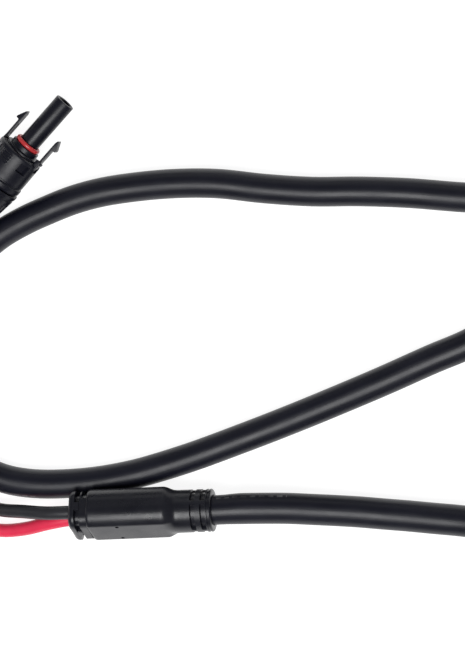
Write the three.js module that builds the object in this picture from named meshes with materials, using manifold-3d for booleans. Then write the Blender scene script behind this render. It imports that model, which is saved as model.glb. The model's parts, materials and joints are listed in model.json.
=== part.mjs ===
// Two-wire solar lead: a round two-core cable whose moulded splitter divides it into a black and a
// red single wire, each ending in a latching single-pole connector, one with a socket contact in a
// slim probe and one with a pin contact in a sleeve. The cable's far end is a two-pole plug.
// Millimetres, +Z up. The lead lies on the plane z = 0.

import * as THREE from 'three';
import { mergeVertices } from 'three/addons/utils/BufferGeometryUtils.js';
import Module from 'manifold-3d';

const wasm = await Module();
wasm.setup();

// ---------------------------------------------------------------- driving dimensions

const gap = 0.3;                 // clearance between pieces that touch
const cutPast = 1;               // how far a cutting tool runs past the face it cuts
const farOut = 20;               // half size of a tool that cuts through all of a piece

// cable and wires
const cableRadius = 6;           // two-core jacket
const wireRadius = 2.8;          // single insulated wire
const coreRadius = 2.2;          // insulated core inside the jacket

// splitter, along its own axis u from the wire end to the cable end
const splitter = {
  at: [18.3, -80.68, 13.9],      // centre of the wire end
  yaw: 3.4, roll: 29,            // degrees about Z, and about its own axis
  flangeLength: 2.7, slotLength: 1.9, slotDepth: 2.2, neckLength: 3,
  flangeHalf: [8.2, 10.2], flangeCorner: 5,
  bodyHalf: [8.3, 11.2], bodyCorner: 7.5, bodyLength: 31,
  bodyBulge: 0.7,                // the round sides would stand this far past the flat faces
  shoulderLength: 6,
  reliefRadius: 8.7, reliefLength: 13.8,
  chamberHalf: [5.5, 8.3], chamberCorner: 3, endWall: 2.2,
  wirePitch: 7, wireTwist: 0,    // distance between the wires, and the turn of their line
  wireShift: 0,               // the wires leave a little to one side of the axis
};
const relief = { slots: [5.4, 9.6], slotWidth: 1.8, webWidth: 2.2, floorWall: 0.6 };
const flangeWeb = 3.6;           // width of the four webs that join flange and neck
const pinHole = { radius: 0.8, depth: 1.2, fromEnd: 12.4, apart: 24, across: 5.6 };

// crimped joints inside the splitter
const splice = { radius: 2, length: 11.4, fromWall: 6.4, sleeveWall: 0.25, sleeveOver: 4.2 };

// both single-pole connectors, along their own axis s; s = 0 is the seal ring of the socket one
const shell = {
  rear: -19.7, rearRadius: 10.5, frontRadius: 9.9, front: -3.9,
  stubRadius: 7.7, stubLength: 11.3,
  contactBore: 3.4, contactBoreEnd: -12, sealBore: 5.2, sealBoreStart: -23,
};
const nut = {
  length: 18.5, frontRadius: 11, rearRadius: 9.2, endWall: 1.5,
  taperStart: 9, taper: 0.9, ribs: 12, ribDepth: 0.7, ribHalf: 0.8, ribStart: 4,
};
const basket = {
  length: 5.2, frontRadius: 6.9, rearRadius: 5.4, collar: 1.2, fingers: 6, slitWidth: 1,
};
const sealLength = 7.2;
const crimp = { radius: 3, length: 9.6 };

const probe = { radius: 4.2, tip: 23.2, bore: 2.8, grooveRadius: 3.9, grooveHalf: 0.95 };
const sealRing = { section: 0.72 };
const collar = { radius: 6.2, length: 2.1, baseRadius: 7.8, baseLength: 0.9 };
const socket = { wall: 0.45, recess: 2.7, depth: 12.5, slit: 0.5, slitLength: 9 };
const latch = {
  root: -5.6, reach: 15.4, offset: 9, thickness: 1, width: 4.2, barb: 1.4, barbLength: 4.6,
  slotBack: 1.4, slotFront: 2, slotIn: 1.4,
};

const sleeve = {
  mouth: 22, half: [11.6, 7.8], corner: 4.4, bore: 4.5, mouthBore: 5.9, mouthDepth: 4.2,
  boreEnd: -5.6, pocketStart: 8.5, strapLength: 6.8, strapWall: 1.4,
  rootHalf: [9, 7.2], rootLength: 6,
};
const pin = { radius: 2, tip: 9.6, tipRadius: 1.1, tipLength: 1.2 };

// where the connectors lie
const socketPlace = { at: [0.1, 70.8, 14.9], heading: 46.9, pitch: 3 };
const pinPlace = { at: [-66.3, 58.6, 11.3], heading: 90, pitch: 0 };

// coil of spare cable and the far plug
const coil = { centre: [250, -27], radius: 61, layers: 2 };
const plug = {
  at: [222, 51.6, 8.3], entryRadius: 8, reliefLength: 14, shoulder: 6, gripLength: 16,
  half: [9.5, 7.6], corner: 4, entryDepth: 13,
  ribs: [3, 6.4, 9.8], ribGap: 1.4, ribFloor: 0.7, entryTaper: 0.6,
  noseHalf: [7.6, 5.7], noseCorner: 2.6, noseLength: 16, seat: 8,
  contactPitch: 7.4, contactRadius: 2, contactBore: 1.6, contactDepth: 12, contactRecess: 0.8,
};

// ---------------------------------------------------------------- routes, hand-chosen centre lines

const lowerRun = [
  [87.3, -76.5, 13.3], [96.9, -76.3, 12.2], [106.5, -76.3, 10.8], [116, -76.7, 9.4],
  [125.6, -77.1, 8.2], [135.2, -77.6, 7.2], [144.9, -78.3, 6.6], [154.5, -78.9, 6.3],
  [164.1, -79.6, 6.5], [177, -80.4, 7.6], [190, -81.6, 10.2], [202, -83, 13.4],
];
const backRun = [
  [178.2, -9.7, 6.3], [164, -15.8, 6.3], [144.7, -24.6, 6.3], [125.3, -33, 6.3],
  [105.7, -41.2, 6.3], [86, -49, 6.3], [66.1, -56.5, 6.3], [46.1, -62.9, 6.3],
  [36.1, -65.3, 6.3], [26, -67.1, 6.3], [15.9, -68.2, 6.3], [5.7, -68.7, 6.3],
  [-3, -68.4, 6.3], [-12.2, -66.9, 6.3], [-22.1, -63.1, 6.3], [-31.1, -57.3, 6.3],
  [-38.6, -49.8, 6.3], [-44.4, -40.9, 6.3], [-48.3, -30.9, 6.3], [-49.9, -20.4, 6.3],
  [-49.3, -9.7, 6.3], [-46.6, 0.6, 6.3], [-41.8, 10.1, 6.3], [-34.9, 18, 6.3],
  [-25.3, 25.2, 6.3], [-14.3, 33.9, 6.3], [-4.2, 39.6, 6.3], [6, 44.1, 6.3],
  [16.1, 48, 6.3], [26.2, 50.8, 6.3], [36.3, 52.6, 6.3], [56.3, 54.6, 6.3],
  [76.1, 54.7, 6.3], [95.8, 52.6, 6.3], [115.4, 51.3, 6.3], [134.8, 51.3, 6.3],
  [154.2, 50.6, 6.3], [176.5, 48.8, 6.3], [188, 48.4, 6.5], [199, 49.5, 7.2],
  [210, 51, 8],
];
const blackRoute = [
  [7.6, -79.6, 15.9], [-3.1, -79.5, 12.6], [-14.3, -79.4, 8.4], [-25, -76.9, 4.9],
  [-36.5, -71, 3.1], [-47.5, -61, 3.1], [-54.2, -47.5, 3.1], [-58, -32.5, 3.1],
  [-58.8, -17, 3.1], [-57, -2, 3.1], [-52.2, 11.5, 4.2], [-45.2, 22.3, 7.4],
];
const redRoute = [
  [9.5, -83.8, 10.4], [4.7, -85, 9.1], [-4, -87.3, 6.9], [-15.1, -88.4, 4.9],
  [-28, -86, 3.4], [-41, -79.4, 3.1], [-52.8, -69, 3.1], [-60.6, -53.5, 3.1],
  [-64.8, -35, 3.1], [-66, -18, 5], [-66.3, -4, 8.9],
];

// ---------------------------------------------------------------- modelling helpers

const degrees = Math.PI / 180;

/** A closed geometry as a solid, its faces turned outwards. */
function solid(geometry) {
  const bare = geometry.index ? geometry.toNonIndexed() : geometry.clone();
  bare.deleteAttribute('normal');
  bare.deleteAttribute('uv');
  const merged = mergeVertices(bare, 1e-4);
  const points = merged.attributes.position.array;
  const corners = [];
  let volume = 0;
  for (let i = 0; i < merged.index.count; i += 3) {
    const [a, b, c] = [0, 1, 2].map((k) => merged.index.getX(i + k));
    if (a === b || b === c || c === a) continue;
    corners.push(a, b, c);
    const [p, q, r] = [a, b, c].map((k) => new THREE.Vector3().fromArray(points, 3 * k));
    volume += p.dot(q.cross(r));
  }
  if (volume < 0) corners.reverse();
  return new wasm.Manifold(new wasm.Mesh({
    numProp: 3,
    vertProperties: new Float32Array(points),
    triVerts: new Uint32Array(corners),
  }));
}

/** A solid back as a three.js geometry. */
function geometryOf(body) {
  const data = body.getMesh();
  const geometry = new THREE.BufferGeometry();
  geometry.setAttribute('position', new THREE.BufferAttribute(data.vertProperties, 3));
  geometry.setIndex(new THREE.BufferAttribute(data.triVerts, 1));
  geometry.computeVertexNormals();
  return geometry;
}

/** Turned body about the X axis; the profile's points are [x, radius] and close on themselves. */
function turned(profile, segments = 32) {
  const points = profile.map(([x, radius]) => new THREE.Vector2(radius, x));
  if (profile[0][1] > 0) points.push(points[0].clone());
  return new THREE.LatheGeometry(points, segments).rotateZ(-Math.PI / 2);
}

const rod = (from, to, radius, segments = 24) =>
  turned([[from, 0], [from, radius], [to, radius], [to, 0]], segments);

const tube = (from, to, inner, outer, segments = 32) =>
  turned([[from, inner], [from, outer], [to, outer], [to, inner]], segments);

/** A box between two corners. */
function block(low, high) {
  const size = high.map((value, i) => value - low[i]);
  const centre = high.map((value, i) => (value + low[i]) / 2);
  return new THREE.BoxGeometry(...size).translate(...centre);
}

/** Points of a rounded rectangle across the X axis, half sizes [y, z]. */
function ring(x, half, corner, perCorner = 5) {
  const radius = Math.min(corner, half[0] - 0.05, half[1] - 0.05);
  const points = [];
  for (const [sy, sz, start] of [[1, 1, 0], [-1, 1, 90], [-1, -1, 180], [1, -1, 270]]) {
    for (let i = 0; i < perCorner; i += 1) {
      const angle = (start + (90 * i) / (perCorner - 1)) * degrees;
      points.push(new THREE.Vector3(
        x,
        sy * (half[0] - radius) + radius * Math.cos(angle),
        sz * (half[1] - radius) + radius * Math.sin(angle),
      ));
    }
  }
  return points;
}

/** A closed body through a row of rings that have the same number of points. */
function loft(rings) {
  const count = rings[0].length;
  const centre = (points) => points
    .reduce((sum, point) => sum.add(point), new THREE.Vector3())
    .divideScalar(count);
  const triangles = [];
  rings.slice(1).forEach((next, i) => {
    const here = rings[i];
    for (let k = 0; k < count; k += 1) {
      const l = (k + 1) % count;
      triangles.push(here[k], here[l], next[l], here[k], next[l], next[k]);
    }
  });
  const [first, last] = [rings[0], rings[rings.length - 1]];
  const [start, end] = [centre(first), centre(last)];
  for (let k = 0; k < count; k += 1) {
    const l = (k + 1) % count;
    triangles.push(start, first[l], first[k], end, last[k], last[l]);
  }
  return new THREE.BufferGeometry().setFromPoints(triangles);
}

/** A round tube along straight leads and a smooth route between them. */
function cord(start, route, end, radius, steps, sides) {
  const vectors = (points) => points.map((point) => new THREE.Vector3(...point));
  const path = new THREE.CurvePath();
  const [lead, middle, tail] = [vectors(start), vectors(route), vectors(end)];
  if (lead.length > 1) path.add(new THREE.LineCurve3(lead[0], lead[1]));
  const from = lead.length > 1 ? [lead[1]] : lead;
  const to = tail.length > 1 ? [tail[0]] : tail;
  path.add(new THREE.CatmullRomCurve3([...from, ...middle, ...to], false, 'centripetal'));
  if (tail.length > 1) path.add(new THREE.LineCurve3(tail[0], tail[1]));
  const section = new THREE.Shape();
  for (let i = 0; i < sides; i += 1) {
    const angle = (2 * Math.PI * i) / sides;
    const corner = [radius * Math.cos(angle), radius * Math.sin(angle)];
    if (i === 0) section.moveTo(...corner);
    else section.lineTo(...corner);
  }
  section.closePath();
  return new THREE.ExtrudeGeometry(section, { steps, bevelEnabled: false, extrudePath: path });
}

/** Copies of a cutting tool turned about the X axis. */
const around = (tool, count, start = 0) => Array.from({ length: count }, (_, i) =>
  tool.rotate([start + (360 * i) / count, 0, 0]));

const cutAll = (body, tools) => tools.reduce((left, tool) => left.subtract(tool), body);

const part = new THREE.Group();

/** Adds one named piece to a group, as a mesh with a material of its own. */
function add(group, name, shape, color, roughness, metalness = 0) {
  const geometry = geometryOf(shape instanceof THREE.BufferGeometry ? solid(shape) : shape);
  const material = new THREE.MeshStandardMaterial({ color, roughness, metalness });
  const mesh = new THREE.Mesh(geometry, material);
  mesh.name = name;
  group.add(mesh);
}

/** A group whose X axis points along a heading and rises by a pitch, then rolls about itself. */
function station({ at, heading, pitch = 0, roll = 0 }) {
  const group = new THREE.Group();
  group.position.set(...at);
  group.rotation.set(roll * degrees, -pitch * degrees, heading * degrees, 'ZYX');
  group.updateMatrixWorld(true);
  part.add(group);
  return group;
}

/** A point of a station's own frame, in the part's frame. */
const pointOn = (group, x, y = 0, z = 0) =>
  group.localToWorld(new THREE.Vector3(x, y, z)).toArray();

const black = 0x26262b;
const darkGrey = 0x2d2d31;
const red = 0xc8344c;
const tin = 0xb9bcc0;
const brass = 0xc9a24a;
const rubber = 0x3a3a3a;

// ---------------------------------------------------------------- splitter

const splitterStation = station({
  at: splitter.at, heading: splitter.yaw, roll: -splitter.roll,
});
const neckStart = splitter.flangeLength + splitter.slotLength;
const bodyStart = neckStart + splitter.neckLength;
const bodyEnd = bodyStart + splitter.bodyLength;
const reliefStart = bodyEnd + splitter.shoulderLength;
const reliefEnd = reliefStart + splitter.reliefLength;
const chamberStart = bodyStart + splitter.endWall;
const chamberEnd = bodyEnd - splitter.endWall;

/** Where the two wires run across the splitter's axis: black above, red below. */
const wireLines = [1, -1].map((side) => {
  const turn = splitter.wireTwist * degrees;
  const off = side * (splitter.wirePitch / 2);
  return [-off * Math.sin(turn) + splitter.wireShift, off * Math.cos(turn)];
});

function splitterBody() {
  const { flangeHalf, flangeCorner, bodyHalf, bodyCorner, reliefRadius } = splitter;
  const round = [reliefRadius, reliefRadius];
  const mid = [(bodyHalf[0] + reliefRadius) / 2, (bodyHalf[1] + reliefRadius) / 2];
  const bodyRing = (x) => ring(x, [bodyHalf[0] + splitter.bodyBulge, bodyHalf[1]], bodyCorner, 9)
    .map((point) => point.setY(Math.max(-bodyHalf[0], Math.min(bodyHalf[0], point.y))));
  let body = solid(loft([
    ring(0, flangeHalf, flangeCorner, 9), ring(bodyStart, flangeHalf, flangeCorner, 9),
    bodyRing(bodyStart + gap), bodyRing(bodyEnd),
    ring(bodyEnd + splitter.shoulderLength / 2, mid, (bodyCorner + reliefRadius) / 2, 9),
    ring(reliefStart, round, reliefRadius, 9), ring(reliefEnd, round, reliefRadius, 9),
  ]));

  const webs = (from, to, width, count) => Array.from({ length: count }, (_, i) =>
    solid(block([from, -width / 2, 0], [to, width / 2, farOut])).rotate([90 * i, 0, 0]));

  const slotFloor = flangeHalf.map((value) => value - splitter.slotDepth);
  const flangeSlot = cutAll(
    solid(block([splitter.flangeLength, -farOut, -farOut], [neckStart, farOut, farOut])),
    [solid(loft([
      ring(0, slotFloor, flangeCorner - 1), ring(bodyStart, slotFloor, flangeCorner - 1),
    ])), ...webs(0, bodyStart, flangeWeb, 4)],
  );
  const floor = cableRadius + gap + relief.floorWall;
  const reliefSlots = relief.slots.map((from) => cutAll(
    solid(tube(reliefStart + from, reliefStart + from + relief.slotWidth, floor, farOut)),
    webs(reliefStart, reliefEnd, relief.webWidth, 4),
  ));
  const chamber = solid(loft([
    ring(chamberStart, splitter.chamberHalf, splitter.chamberCorner),
    ring(chamberEnd, splitter.chamberHalf, splitter.chamberCorner),
  ]));
  const cableBore = solid(rod(chamberEnd - cutPast, reliefEnd + cutPast, cableRadius + gap));
  const wireBores = wireLines.map(([y, z]) =>
    solid(rod(-cutPast, chamberStart + cutPast, wireRadius + gap, 20).translate(0, y, z)));
  const pinHoles = [0, pinHole.apart].flatMap((along) => [-1, 1].map((side) => solid(
    new THREE.CylinderGeometry(pinHole.radius, pinHole.radius, 2 * pinHole.depth, 10)
      .translate(bodyStart + pinHole.fromEnd + along, -bodyHalf[0], side * pinHole.across),
  )));
  return cutAll(body, [flangeSlot, ...reliefSlots, chamber, cableBore, ...wireBores, ...pinHoles]);
}

add(splitterStation, 'splitter_overmold', splitterBody(), black, 0.5);

const spliceStart = chamberStart + splice.fromWall;
const spliceEnd = spliceStart + splice.length;
const jacketStart = chamberEnd - 2 * gap;
['black', 'red'].forEach((colour, i) => {
  const [y, z] = wireLines[i];
  const paint = i === 0 ? black : red;
  add(splitterStation, `splice_barrel_${colour}`,
    rod(spliceStart, spliceEnd, splice.radius, 16).translate(0, y, z), tin, 0.35, 1);
  add(splitterStation, `splice_sleeve_${colour}`,
    tube(spliceStart - splice.sleeveOver, spliceEnd + splice.sleeveOver,
      wireRadius + gap, wireRadius + gap + splice.sleeveWall, 20).translate(0, y, z), paint, 0.45);
  add(splitterStation, `cable_core_${colour}`,
    rod(spliceEnd + gap, jacketStart - gap, coreRadius, 12).translate(0, y, z), paint, 0.5);
});

// ---------------------------------------------------------------- single-pole connectors

const stubEnd = shell.rear - shell.stubLength;
const nutFront = shell.rear - gap;
const nutRear = nutFront - nut.length;
const basketFront = stubEnd - gap;
const basketRear = basketFront - basket.length;

/** Bores that both shells share behind the contact: crimp bore and seal bore. */
const rearBores = (front) => [
  solid(rod(shell.sealBoreStart - cutPast, front, shell.contactBore)),
  solid(rod(stubEnd - cutPast, shell.sealBoreStart, shell.sealBore)),
];

/** Profile of the shell's gripping body and threaded stub, from the axis at `front`. */
const shellProfile = (front, frontRadius) => [
  [front, 0], [front, frontRadius], [shell.rear, shell.rearRadius],
  [shell.rear, shell.stubRadius], [stubEnd, shell.stubRadius], [stubEnd, 0],
];

/** Pieces that seal and clamp a wire, the same in both connectors. */
function wireClamp(group, name) {
  const seal = tube(shell.sealBoreStart - gap, shell.sealBoreStart - gap - sealLength,
    wireRadius + gap, shell.sealBore - gap, 24);
  add(group, `${name}_wire_seal`, seal, rubber, 0.8);

  const bore = wireRadius + gap;
  const slit = solid(block(
    [basketRear - cutPast, -basket.slitWidth / 2, 0],
    [basketFront - basket.collar, basket.slitWidth / 2, farOut],
  ));
  const cone = solid(turned([
    [basketFront, bore], [basketFront, basket.frontRadius],
    [basketRear, basket.rearRadius], [basketRear, bore],
  ]));
  add(group, `${name}_clamp_basket`, cutAll(cone, around(slit, basket.fingers)), darkGrey, 0.5);

  const thread = shell.stubRadius + gap;
  const cavity = solid(turned([
    [nutFront + cutPast, 0], [nutFront + cutPast, thread], [basketFront, thread],
    [basketFront, basket.frontRadius + 2 * gap],
    [nutRear + nut.endWall, basket.rearRadius + gap], [nutRear + nut.endWall, 0],
  ]));
  const outline = solid(turned([
    [nutFront, 0], [nutFront, nut.frontRadius],
    [nutFront - nut.taperStart, nut.frontRadius - nut.taper],
    [nutRear, nut.rearRadius], [nutRear, 0],
  ]));
  const groove = solid(block(
    [nutRear - cutPast, -nut.ribHalf, nut.rearRadius - nut.ribDepth],
    [nutFront - nut.ribStart, nut.ribHalf, farOut],
  ));
  const hole = solid(rod(nutRear - cutPast, nutRear + nut.endWall + cutPast, wireRadius + 2 * gap));
  add(group, `${name}_cap_nut`,
    cutAll(outline, [cavity, hole, ...around(groove, nut.ribs, 15)]), black, 0.5);
}

// socket connector: slim probe, red seal ring and two spring latches
const socketStation = station(socketPlace);

function socketShell() {
  const collarBack = -probe.grooveHalf - collar.length;
  const baseBack = collarBack - collar.baseLength;
  const front = solid(turned([
    [probe.tip, 0], [probe.tip, probe.radius], [probe.grooveHalf, probe.radius],
    [probe.grooveHalf, probe.grooveRadius], [-probe.grooveHalf, probe.grooveRadius],
    [-probe.grooveHalf, collar.radius], [collarBack, collar.radius],
    [collarBack, collar.baseRadius], [baseBack, collar.baseRadius],
    [baseBack, 0],
  ]));
  const body = solid(turned(shellProfile(baseBack + 0.01, shell.frontRadius)));
  const latchSlots = [1, -1].map((side) => solid(block(
    [latch.root - latch.slotBack, side > 0 ? latch.offset - latch.slotIn : -farOut,
      -latch.width / 2 - gap],
    [shell.front + latch.slotFront, side > 0 ? farOut : -latch.offset + latch.slotIn,
      latch.width / 2 + gap],
  )));
  const probeBore = solid(rod(shell.contactBoreEnd - cutPast, probe.tip + cutPast, probe.bore, 24));
  return cutAll(front.add(body), [
    probeBore, ...rearBores(shell.contactBoreEnd), ...latchSlots,
  ]);
}

add(socketStation, 'socket_shell', socketShell(), darkGrey, 0.5);
add(socketStation, 'probe_seal_ring', new THREE.TorusGeometry(
  probe.grooveRadius + gap + sealRing.section, sealRing.section, 8, 32,
).rotateY(Math.PI / 2), red, 0.4);

function socketContact() {
  const outer = probe.bore - gap;
  const mouth = probe.tip - socket.recess;
  const back = shell.contactBoreEnd - gap;
  const body = solid(turned([
    [mouth - socket.depth, 0], [mouth - socket.depth, outer - socket.wall],
    [mouth, outer - socket.wall], [mouth, outer], [back + gap, outer],
    [back - gap, crimp.radius], [back - gap - crimp.length, crimp.radius],
    [back - gap - crimp.length, 0],
  ], 24));
  const slit = solid(block(
    [mouth - socket.slitLength, -socket.slit / 2, 0],
    [mouth + cutPast, socket.slit / 2, farOut],
  ));
  return cutAll(body, around(slit, 4));
}

add(socketStation, 'socket_contact', socketContact(), tin, 0.3, 1);

/** One latch: a flat spring arm that ends in a barb pointing outwards. */
function latchArm() {
  const { root, reach, thickness, barb, barbLength } = latch;
  const tip = root + reach;
  const outline = new THREE.Shape([
    [root, 0.25], [root + 0.5, 0], [tip - 1, 0], [tip, 0.5],
    [tip - barbLength + 0.6, thickness + barb], [tip - barbLength, thickness + barb - 0.3],
    [tip - barbLength + 0.2, thickness], [root + 0.5, thickness], [root, thickness - 0.25],
  ].map(([x, y]) => new THREE.Vector2(x, y)));
  return new THREE.ExtrudeGeometry(outline, { depth: latch.width, bevelEnabled: false })
    .translate(0, latch.offset - thickness / 2, -latch.width / 2);
}

add(socketStation, 'latch_arm_left', latchArm(), darkGrey, 0.5);
add(socketStation, 'latch_arm_right', latchArm().rotateX(Math.PI), darkGrey, 0.5);
wireClamp(socketStation, 'socket');

// pin connector: sleeve that the probe goes into, with a window for each latch
const pinStation = station(pinPlace);

function pinShell() {
  const body = solid(turned(shellProfile(shell.front - 0.1, shell.frontRadius + 0.6)));
  const sleeveBlock = solid(loft([
    ring(shell.front - sleeve.rootLength, sleeve.rootHalf, sleeve.corner),
    ring(shell.front, sleeve.half, sleeve.corner),
    ring(sleeve.mouth, sleeve.half, sleeve.corner),
  ]));
  const pocketFloor = latch.offset - latch.thickness / 2 - 2 * gap;
  const strapInside = sleeve.half[0] - sleeve.strapWall;
  const halfWidth = latch.width / 2 + gap;
  const pockets = [1, -1].flatMap((side) => [
    block([sleeve.pocketStart, pocketFloor, -halfWidth],
      [sleeve.mouth + cutPast, strapInside, halfWidth]),
    block([sleeve.pocketStart, pocketFloor, -halfWidth],
      [sleeve.mouth - sleeve.strapLength, farOut, halfWidth]),
  ].map((shape) => solid(shape.rotateX(side > 0 ? 0 : Math.PI))));
  const bores = [
    solid(rod(sleeve.boreEnd, sleeve.mouth + cutPast, sleeve.bore)),
    solid(rod(sleeve.mouth - sleeve.mouthDepth, sleeve.mouth + cutPast, sleeve.mouthBore)),
    solid(rod(shell.contactBoreEnd - cutPast, sleeve.boreEnd + cutPast, probe.bore, 24)),
  ];
  return cutAll(body.add(sleeveBlock), [...pockets, ...bores, ...rearBores(shell.contactBoreEnd)]);
}

add(pinStation, 'pin_shell', pinShell(), darkGrey, 0.5);

const contactBack = shell.contactBoreEnd - gap;
add(pinStation, 'pin_contact', turned([
  [pin.tip, 0], [pin.tip, pin.tipRadius], [pin.tip - pin.tipLength, pin.radius],
  [sleeve.boreEnd, pin.radius], [sleeve.boreEnd - gap, probe.bore - gap],
  [contactBack + gap, probe.bore - gap], [contactBack - gap, crimp.radius],
  [contactBack - gap - crimp.length, crimp.radius], [contactBack - gap - crimp.length, 0],
], 24), tin, 0.3, 1);
wireClamp(pinStation, 'pin');

// ---------------------------------------------------------------- single wires

const wireStart = spliceStart - gap;
const wireStop = contactBack - gap - crimp.length - gap;
const wireStraight = nutRear - 14;

[
  ['black_wire', 0, blackRoute, socketStation, black],
  ['red_wire', 1, redRoute, pinStation, red],
].forEach(([name, line, route, connector, paint]) => {
  const [y, z] = wireLines[line];
  const start = [wireStart, -2].map((x) => pointOn(splitterStation, x, y, z));
  const end = [wireStraight, wireStop].map((x) => pointOn(connector, x));
  add(part, name, cord(start, route, end, wireRadius, 40, 10), paint, 0.45);
});

// ---------------------------------------------------------------- cable, coil and far plug

const plugStation = station({ at: plug.at, heading: 0 });
const cableStart = [jacketStart, reliefEnd + 2].map((x) => pointOn(splitterStation, x));
const cableEnd = [-2, plug.entryDepth].map((x) => pointOn(plugStation, x));

add(part, 'cable_to_coil',
  cord(cableStart, lowerRun.slice(0, -1), lowerRun.slice(-1), cableRadius, 16, 12), black, 0.55);
add(part, 'cable_from_coil',
  cord(backRun.slice(0, 1), backRun.slice(1), cableEnd, cableRadius, 60, 12), black, 0.55);

const coilHeight = 2 * (cableRadius + 0.2) * coil.layers;
add(part, 'cable_coil', new THREE.LatheGeometry([
  [-1, 0], [1, 0], [1, coilHeight], [-1, coilHeight], [-1, 0],
].map(([side, z]) => new THREE.Vector2(coil.radius + side * (cableRadius + 0.2), z)), 48)
  .rotateX(Math.PI / 2).translate(...coil.centre, gap), black, 0.55);

function plugGrip() {
  const { entryRadius, reliefLength, shoulder, gripLength, half, corner } = plug;
  const gripStart = reliefLength + shoulder;
  const gripEnd = gripStart + gripLength;
  const round = [entryRadius, entryRadius];
  const body = solid(loft([
    ring(0, round.map((value) => value - plug.entryTaper), entryRadius),
    ring(reliefLength, round, entryRadius),
    ring(gripStart, half, corner), ring(gripEnd, half, corner),
  ]));
  const grooves = plug.ribs.map((from) =>
    solid(tube(from, from + plug.ribGap, cableRadius + gap + plug.ribFloor, farOut)));
  const seat = plug.noseHalf.map((value) => value + gap);
  return cutAll(body, [
    ...grooves,
    solid(rod(-cutPast, gripEnd - plug.seat + cutPast, cableRadius + gap)),
    solid(loft([
      ring(gripEnd - plug.seat, seat, plug.noseCorner + gap),
      ring(gripEnd + cutPast, seat, plug.noseCorner + gap),
    ])),
  ]);
}

add(plugStation, 'plug_grip', plugGrip(), black, 0.5);

const noseStart = plug.reliefLength + plug.shoulder + plug.gripLength - plug.seat + gap;
const noseEnd = noseStart + plug.noseLength;
const contactLines = [1, -1].map((side) => (side * plug.contactPitch) / 2);
add(plugStation, 'plug_insulator', cutAll(
  solid(loft([
    ring(noseStart, plug.noseHalf, plug.noseCorner), ring(noseEnd, plug.noseHalf, plug.noseCorner),
  ])),
  contactLines.map((y) =>
    solid(rod(noseStart - cutPast, noseEnd + cutPast, plug.contactRadius + gap, 20)
      .translate(0, y, 0))),
), darkGrey, 0.45);

['positive', 'negative'].forEach((pole, i) => {
  const face = noseEnd - plug.contactRecess;
  const contact = turned([
    [face - plug.contactDepth, 0], [face - plug.contactDepth, plug.contactBore],
    [face, plug.contactBore], [face, plug.contactRadius],
    [noseStart + gap, plug.contactRadius], [noseStart + gap, 0],
  ], 20).translate(0, contactLines[i], 0);
  add(plugStation, `plug_contact_${pole}`, contact, brass, 0.25, 1);
});

export default part;
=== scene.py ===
"""Two-wire solar lead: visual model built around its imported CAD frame.

A round two-core cable runs from a two-pole plug through a coil to a moulded splitter. There it
divides into a black and a red wire, and each ends in a single-pole latching connector.
Pieces are modelled in their own millimetres, X along the piece, and then put in the frame.
"""

import json
import math

import bmesh
import bpy
from bpy.props import FloatProperty, FloatVectorProperty, IntProperty, PointerProperty
from mathutils import Matrix, Vector

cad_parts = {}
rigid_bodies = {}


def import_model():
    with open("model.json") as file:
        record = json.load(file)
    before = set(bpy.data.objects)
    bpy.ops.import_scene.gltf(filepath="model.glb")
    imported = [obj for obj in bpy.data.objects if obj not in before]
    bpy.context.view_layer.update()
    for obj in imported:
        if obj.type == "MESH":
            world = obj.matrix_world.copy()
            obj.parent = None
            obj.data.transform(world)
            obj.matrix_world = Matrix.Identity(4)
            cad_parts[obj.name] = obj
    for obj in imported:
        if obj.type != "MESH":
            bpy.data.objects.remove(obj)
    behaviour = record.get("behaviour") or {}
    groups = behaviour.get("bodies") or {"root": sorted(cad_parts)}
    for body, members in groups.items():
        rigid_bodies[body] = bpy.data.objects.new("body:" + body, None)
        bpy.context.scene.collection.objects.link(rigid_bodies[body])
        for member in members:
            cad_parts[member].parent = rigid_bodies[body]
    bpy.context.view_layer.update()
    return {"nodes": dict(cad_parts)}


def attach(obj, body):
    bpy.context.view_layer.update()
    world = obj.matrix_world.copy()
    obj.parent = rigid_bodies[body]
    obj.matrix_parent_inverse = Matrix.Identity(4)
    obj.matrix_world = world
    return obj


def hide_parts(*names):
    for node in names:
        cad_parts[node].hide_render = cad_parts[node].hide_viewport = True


bl_info = {
    "name": "Two-wire solar lead",
    "version": (1, 0, 0),
    "blender": (4, 5, 0),
    "location": "View3D > Sidebar > Solar lead",
    "description": "Models a solar lead with its splitter, connectors and plug",
    "category": "Object",
}

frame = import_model()

MM = 0.001
GAP = 0.3                # clearance between pieces that touch
CABLE_RADIUS = 6.0
WIRE_RADIUS = 2.8

# splitter, along its axis from the wire end to the cable end
FLANGE_END, NECK_START, BODY_START, BODY_END, RELIEF_START, RELIEF_END = (
    2.7, 4.6, 7.6, 38.6, 44.6, 58.4)
FLANGE_HALF, FLANGE_CORNER = (8.2, 10.2), 5.0
BODY_HALF, BODY_CORNER = (8.3, 11.2), 7.5
CREASE = 6.86            # where a flat face meets the rounded side
BODY_BULGE = 0.7         # how far the rounded sides would stand past the flat faces
RELIEF_RADIUS = 8.7
RELIEF_SLOTS = (5.4, 9.6)
SLOT_WIDTH = 1.8
FINE_GROOVE = (12.2, 12.9)    # groove round the relief, from its start
PIN_HOLES, PIN_HOLE_SIDE = (12.4, 36.4), 5.6    # from the body's start, and from its axis
WIRE_PITCH = 7.0         # distance between the two wires' axes
SPLICE_START = 16.2

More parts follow.
